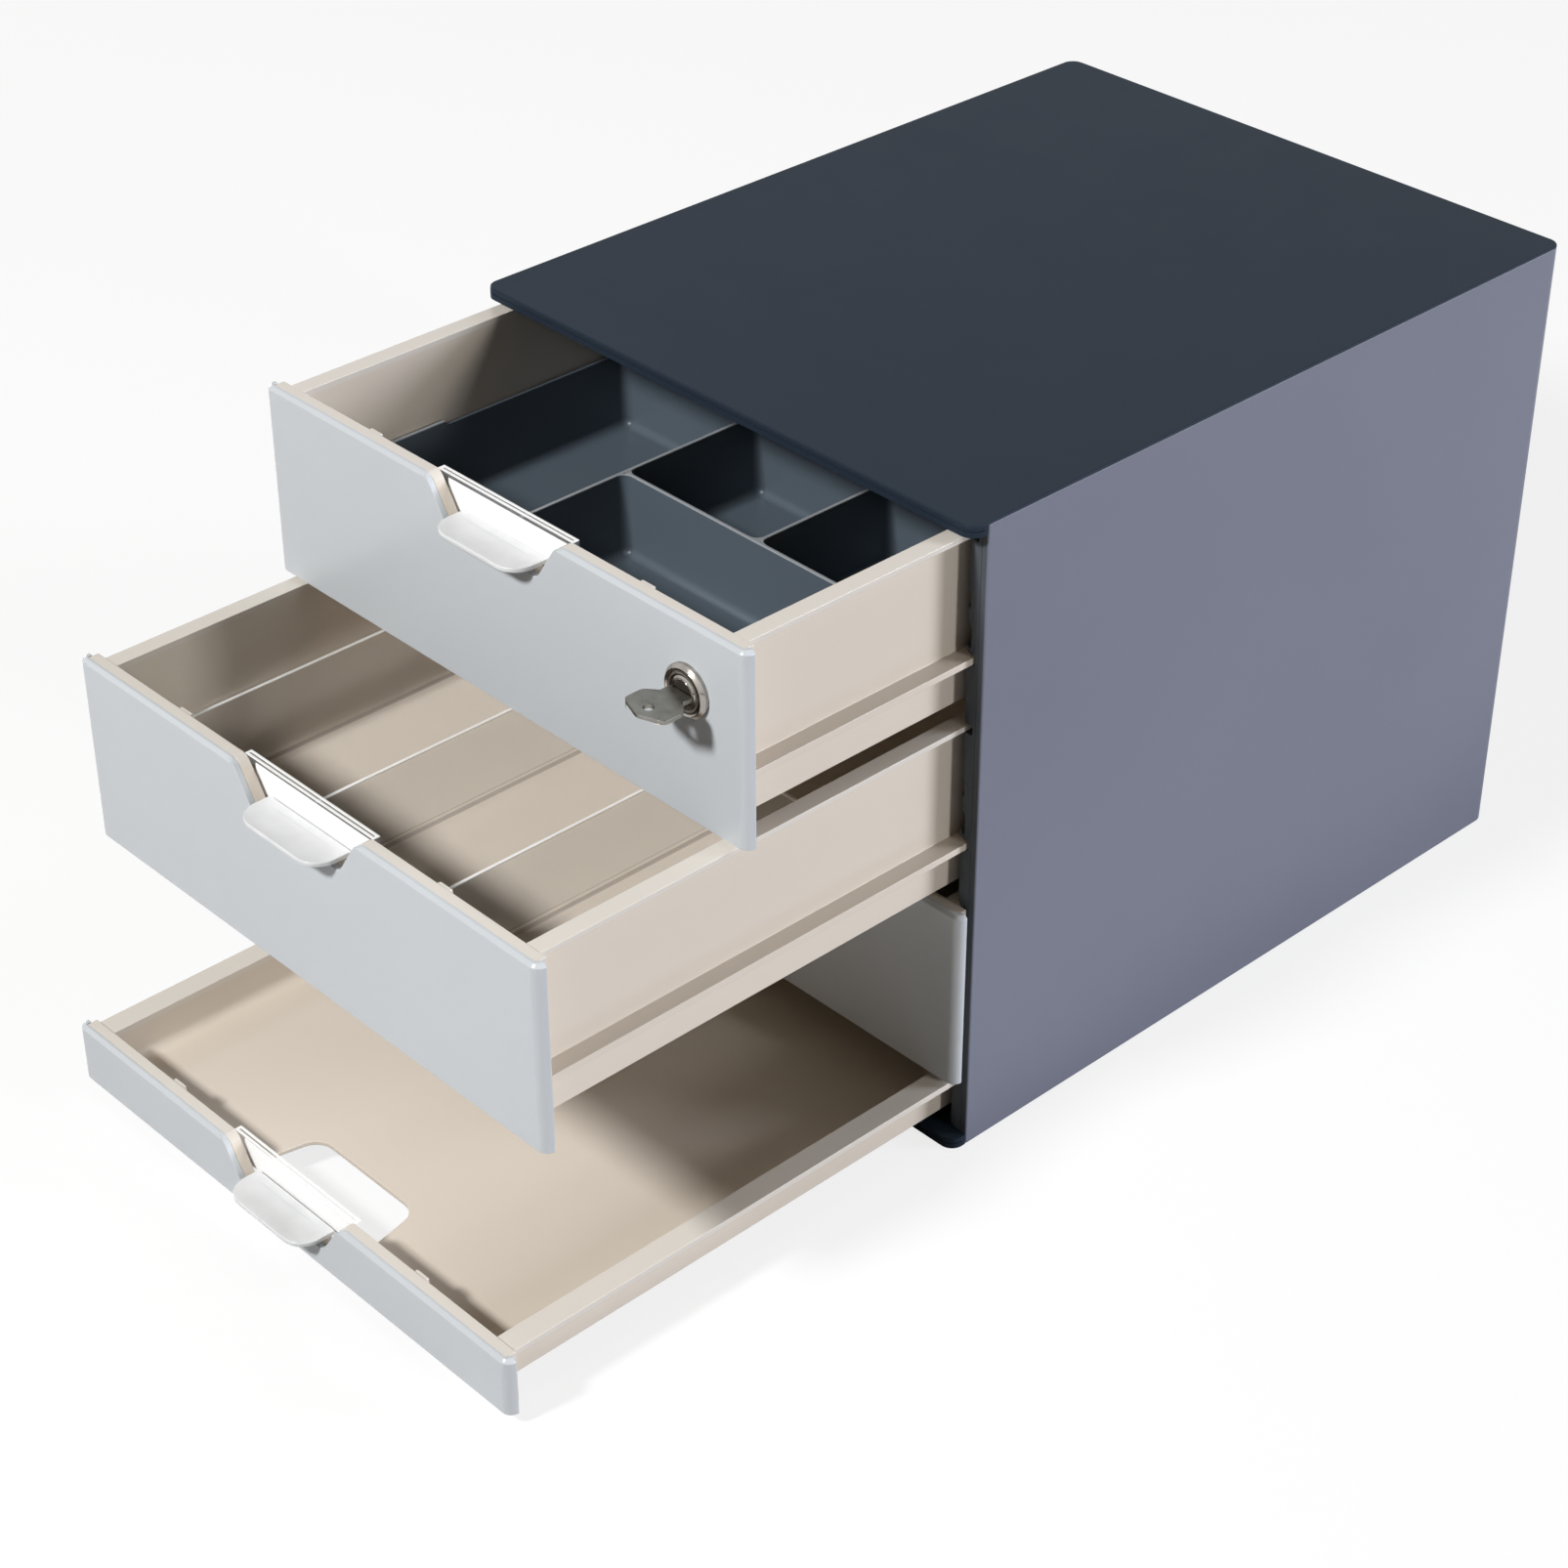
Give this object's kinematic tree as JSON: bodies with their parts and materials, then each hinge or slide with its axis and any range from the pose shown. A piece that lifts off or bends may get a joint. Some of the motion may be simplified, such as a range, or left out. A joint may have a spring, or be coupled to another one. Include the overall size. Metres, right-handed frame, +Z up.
{
  "type": "desktop drawer organizer",
  "caption": "Desktop drawer box with tall and flat pull-out drawers, moulded inserts, label windows with grip lips, and a cam lock with its key.",
  "frame": {"origin": "centre of the housing's underside, on the table", "axes": "+X to the right seen from the front, +Y from the fronts to the back, +Z up"},
  "size_m": [0.28, 0.599, 0.292],
  "materials": {
    "housing": "matte moulded slate grey",
    "side_panel": "satin moulded cool grey",
    "runner": "matte dark grey",
    "cover": "satin light grey",
    "tray": "matte warm white",
    "dark_insert": "matte slate grey",
    "clear": "clear, lightly frosted",
    "clear_pull": "clear window, frosted lip",
    "card": "plain white card",
    "nickel": "bright nickel plate",
    "steel": "plain zinc plate",
    "rubber": "matte black"
  },
  "bodies": {
    "housing": {"top_panel": "housing", "bottom_panel": "housing", "left_side_panel": "side_panel", "right_side_panel": "side_panel", "back_panel": "side_panel", "left_runner_frame": "runner", "right_runner_frame": "runner", "rubber_pads": "rubber"},
    "top_drawer": {"top_tray": "tray", "top_front_cover": "cover", "top_pull": "clear_pull", "top_label": "card", "capsule_insert": "dark_insert", "lock_barrel": "nickel", "lock_nut": "nickel"},
    "lock_core": {"lock_plug": "nickel", "lock_cam": "steel", "cam_screw": "steel"},
    "key": {"key": "nickel"},
    "upper_drawer": {"upper_tray": "tray", "upper_front_cover": "cover", "upper_pull": "clear_pull", "upper_label": "card", "clear_insert": "clear"},
    "lower_drawer": {"lower_tray": "tray", "lower_front_cover": "cover", "lower_pull": "clear_pull", "lower_label": "card"},
    "flat_drawer": {"flat_tray": "tray", "flat_front_cover": "cover", "flat_pull": "clear_pull", "flat_label": "card"}
  },
  "joints": [
    {"name": "top_drawer_slide", "type": "slide", "parent": "housing", "child": "top_drawer", "axis": [0, -1, 0], "range_m": [-0.112, 0.15]},
    {"name": "upper_drawer_slide", "type": "slide", "parent": "housing", "child": "upper_drawer", "axis": [0, -1, 0], "range_m": [-0.21, 0.052]},
    {"name": "lower_drawer_slide", "type": "slide", "parent": "housing", "child": "lower_drawer", "axis": [0, -1, 0], "range_m": [0, 0.262]},
    {"name": "flat_drawer_slide", "type": "slide", "parent": "housing", "child": "flat_drawer", "axis": [0, -1, 0], "range_m": [-0.233, 0.029]},
    {"name": "lock_turn", "type": "hinge", "parent": "top_drawer", "child": "lock_core", "pos_m": [0.1095, -0.29, 0.2581], "axis": [0, 1, 0], "range_deg": [0, 90]},
    {"name": "key_pull", "type": "slide", "parent": "lock_core", "child": "key", "axis": [0, -1, 0], "range_m": [0, 0.03]}
  ]
}
